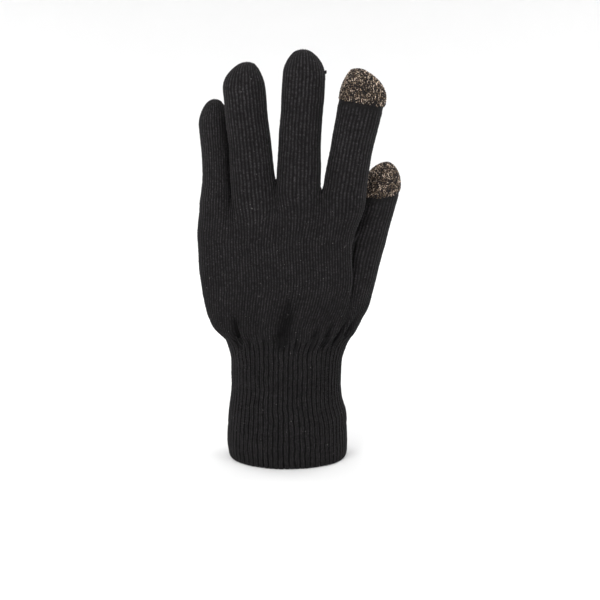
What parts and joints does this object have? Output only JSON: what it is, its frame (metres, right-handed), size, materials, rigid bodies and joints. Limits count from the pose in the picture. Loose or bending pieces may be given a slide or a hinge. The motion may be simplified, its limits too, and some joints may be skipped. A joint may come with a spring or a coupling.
{
  "type": "touchscreen glove",
  "caption": "Left-hand seamless knitted glove with a long ribbed cuff, jointed finger tubes and conductive knitted tips on index finger and thumb.",
  "frame": {"origin": "centre of the cuff's mouth, at the height of the hem's lower edge", "axes": "+Z from the wrist to the fingertips, +X towards the thumb's side, +Y out of the palm, -Y out of the back of the hand"},
  "size_m": [0.1178, 0.0559, 0.237],
  "materials": {
    "knit": "matte fine plain knit, charcoal black, slightly hairy",
    "rib": "matte 1x1 rib knit, charcoal black",
    "conductive": "black knit with copper and rose-gold metal-coated yarn, glinting",
    "elastic": "covered rubber yarn, matte",
    "thread": "matte twisted yarn, charcoal black"
  },
  "bodies": {
    "cuff_and_palm": {"cuff_rib": "rib", "cuff_hem": "rib", "cuff_elastic_yarn": "elastic", "palm_knit": "knit", "pinky_ring_crotch_stitch": "thread", "ring_middle_crotch_stitch": "thread", "middle_index_crotch_stitch": "thread", "thumb_base_tube": "knit"},
    "pinky_lower": {"pinky_root_knuckle": "knit", "pinky_lower_tube": "knit"},
    "pinky_middle": {"pinky_middle_knuckle": "knit", "pinky_middle_tube": "knit"},
    "pinky_end": {"pinky_end_knuckle": "knit", "pinky_end_tube": "knit"},
    "ring_lower": {"ring_root_knuckle": "knit", "ring_lower_tube": "knit"},
    "ring_middle": {"ring_middle_knuckle": "knit", "ring_middle_tube": "knit"},
    "ring_end": {"ring_end_knuckle": "knit", "ring_end_tube": "knit"},
    "middle_lower": {"middle_root_knuckle": "knit", "middle_lower_tube": "knit"},
    "middle_middle": {"middle_middle_knuckle": "knit", "middle_middle_tube": "knit"},
    "middle_end": {"middle_end_knuckle": "knit", "middle_end_tube": "knit", "middle_yarn_end": "thread"},
    "index_lower": {"index_root_knuckle": "knit", "index_lower_tube": "knit"},
    "index_middle": {"index_middle_knuckle": "knit", "index_middle_tube": "knit"},
    "index_end": {"index_end_knuckle": "knit", "index_end_tube": "knit", "index_touch_tip": "conductive", "index_yarn_end": "thread"},
    "thumb_lower": {"thumb_root_knuckle": "knit", "thumb_lower_tube": "knit"},
    "thumb_end": {"thumb_end_knuckle": "knit", "thumb_end_tube": "knit", "thumb_touch_tip": "conductive", "thumb_yarn_end": "thread"}
  },
  "joints": [
    {"name": "pinky_root_bend", "type": "hinge", "parent": "cuff_and_palm", "child": "pinky_lower", "pos_m": [-0.0409, 0.003, 0.147], "axis": [-1, 0, 0], "range_deg": [0, 70], "stiffness_Nm_per_rad": 0.008, "deforming": ["pinky_root_knuckle"]},
    {"name": "pinky_middle_bend", "type": "hinge", "parent": "pinky_lower", "child": "pinky_middle", "pos_m": [-0.0412, 0.0056, 0.167], "axis": [-1, 0, 0], "range_deg": [0, 80], "stiffness_Nm_per_rad": 0.008, "deforming": ["pinky_middle_knuckle"]},
    {"name": "pinky_end_bend", "type": "hinge", "parent": "pinky_middle", "child": "pinky_end", "pos_m": [-0.04149, 0.00807, 0.186], "axis": [-1, 0, 0], "range_deg": [0, 40], "stiffness_Nm_per_rad": 0.008, "deforming": ["pinky_end_knuckle"]},
    {"name": "ring_root_bend", "type": "hinge", "parent": "cuff_and_palm", "child": "ring_lower", "pos_m": [-0.0183, 0.0005, 0.152], "axis": [-0.9974, 0, -0.0718], "range_deg": [0, 70], "stiffness_Nm_per_rad": 0.008, "deforming": ["ring_root_knuckle"]},
    {"name": "ring_middle_bend", "type": "hinge", "parent": "ring_lower", "child": "ring_middle", "pos_m": [-0.02073, 0.00077, 0.179], "axis": [-0.9974, 0, -0.0718], "range_deg": [0, 80], "stiffness_Nm_per_rad": 0.008, "deforming": ["ring_middle_knuckle"]},
    {"name": "ring_end_bend", "type": "hinge", "parent": "ring_middle", "child": "ring_end", "pos_m": [-0.02307, 0.00103, 0.205], "axis": [-0.9974, 0, -0.0718], "range_deg": [0, 40], "stiffness_Nm_per_rad": 0.008, "deforming": ["ring_end_knuckle"]},
    {"name": "middle_root_bend", "type": "hinge", "parent": "cuff_and_palm", "child": "middle_lower", "pos_m": [0.0062, 0, 0.154], "axis": [-0.9985, 0, 0.0549], "range_deg": [0, 70], "stiffness_Nm_per_rad": 0.008, "deforming": ["middle_root_knuckle"]},
    {"name": "middle_middle_bend", "type": "hinge", "parent": "middle_lower", "child": "middle_middle", "pos_m": [0.00785, 0, 0.184], "axis": [-0.9985, 0, 0.0549], "range_deg": [0, 80], "stiffness_Nm_per_rad": 0.008, "deforming": ["middle_middle_knuckle"]},
    {"name": "middle_end_bend", "type": "hinge", "parent": "middle_middle", "child": "middle_end", "pos_m": [0.00933, 0, 0.211], "axis": [-0.9985, 0, 0.0549], "range_deg": [0, 40], "stiffness_Nm_per_rad": 0.008, "deforming": ["middle_end_knuckle"]},
    {"name": "index_root_bend", "type": "hinge", "parent": "cuff_and_palm", "child": "index_lower", "pos_m": [0.0318, 0.0005, 0.151], "axis": [-0.9833, 0, 0.1819], "range_deg": [0, 70], "stiffness_Nm_per_rad": 0.008, "deforming": ["index_root_knuckle"]},
    {"name": "index_middle_bend", "type": "hinge", "parent": "index_lower", "child": "index_middle", "pos_m": [0.03642, 0.00075, 0.176], "axis": [-0.9833, 0, 0.1819], "range_deg": [0, 80], "stiffness_Nm_per_rad": 0.008, "deforming": ["index_middle_knuckle"]},
    {"name": "index_end_bend", "type": "hinge", "parent": "index_middle", "child": "index_end", "pos_m": [0.04068, 0.00098, 0.199], "axis": [-0.9833, 0, 0.1819], "range_deg": [0, 40], "stiffness_Nm_per_rad": 0.008, "deforming": ["index_end_knuckle"]},
    {"name": "thumb_root_swing", "type": "hinge", "parent": "cuff_and_palm", "child": "thumb_lower", "pos_m": [0.04553, 0.01398, 0.12576], "axis": [0.6957, 0.6481, -0.3097], "range_deg": [-40, 35], "stiffness_Nm_per_rad": 0.008, "deforming": ["thumb_root_knuckle"]},
    {"name": "thumb_end_bend", "type": "hinge", "parent": "thumb_lower", "child": "thumb_end", "pos_m": [0.05204, 0.01718, 0.14706], "axis": [-0.6957, -0.6481, 0.3097], "range_deg": [0, 55], "stiffness_Nm_per_rad": 0.008, "deforming": ["thumb_end_knuckle"]}
  ],
  "couplings": [
    {"joint": "pinky_end_bend", "follows": "pinky_middle_bend", "ratio": 0.5},
    {"joint": "ring_end_bend", "follows": "ring_middle_bend", "ratio": 0.5},
    {"joint": "middle_end_bend", "follows": "middle_middle_bend", "ratio": 0.5},
    {"joint": "index_end_bend", "follows": "index_middle_bend", "ratio": 0.5}
  ]
}
